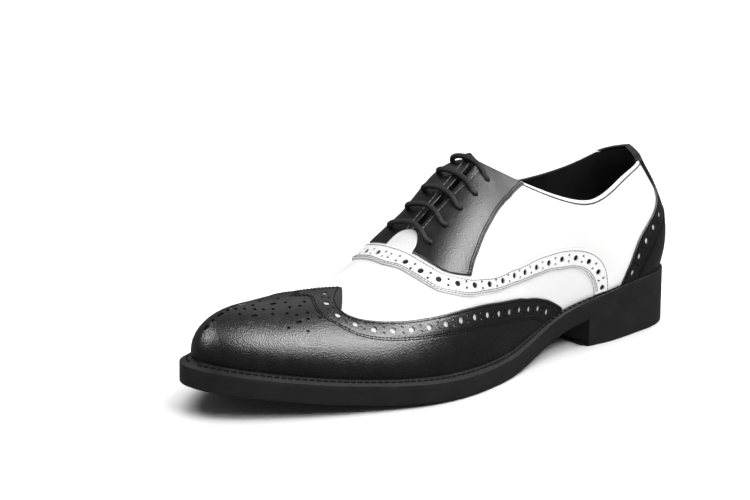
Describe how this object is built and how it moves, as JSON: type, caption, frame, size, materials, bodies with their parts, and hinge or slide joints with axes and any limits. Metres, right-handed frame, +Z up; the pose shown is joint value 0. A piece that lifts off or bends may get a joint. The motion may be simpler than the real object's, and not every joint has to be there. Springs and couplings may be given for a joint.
{
  "type": "spectator shoe",
  "caption": "Left lace-up dress shoe in black and white leather: hollow upper on a curved last, winged toe cap, brogued band, heel counter, tongue, laces, welted sole and heel.",
  "frame": {"origin": "middle of the shoe's box, on the floor it stands on", "axes": "+Z up, toe along -Y, heel along +Y, outer side of the left foot along +X"},
  "size_m": [0.1084, 0.3056, 0.1071],
  "materials": {
    "black_rubber": "smooth, half matt",
    "black_welt": "waxed edge",
    "black_insole": "matt lining",
    "white_leather": "smooth, polished",
    "black_leather": "smooth, polished",
    "black_lining": "matt lining",
    "black_lace": "waxed round cord"
  },
  "bodies": {
    "root": {"heel": "black_rubber", "outsole": "black_rubber", "welt": "black_welt", "insole": "black_insole", "upper": "white_leather", "tongue": "black_lining", "wing_cap": "black_leather", "heel_counter": "black_leather", "brogue_band": "white_leather", "facing_lateral": "black_leather", "facing_medial": "black_leather", "throat_tab": "white_leather", "lace_bar_1": "black_lace", "lace_bar_2": "black_lace", "lace_bar_3": "black_lace", "lace_bar_4": "black_lace", "lace_bar_5": "black_lace"}
  },
  "joints": []
}
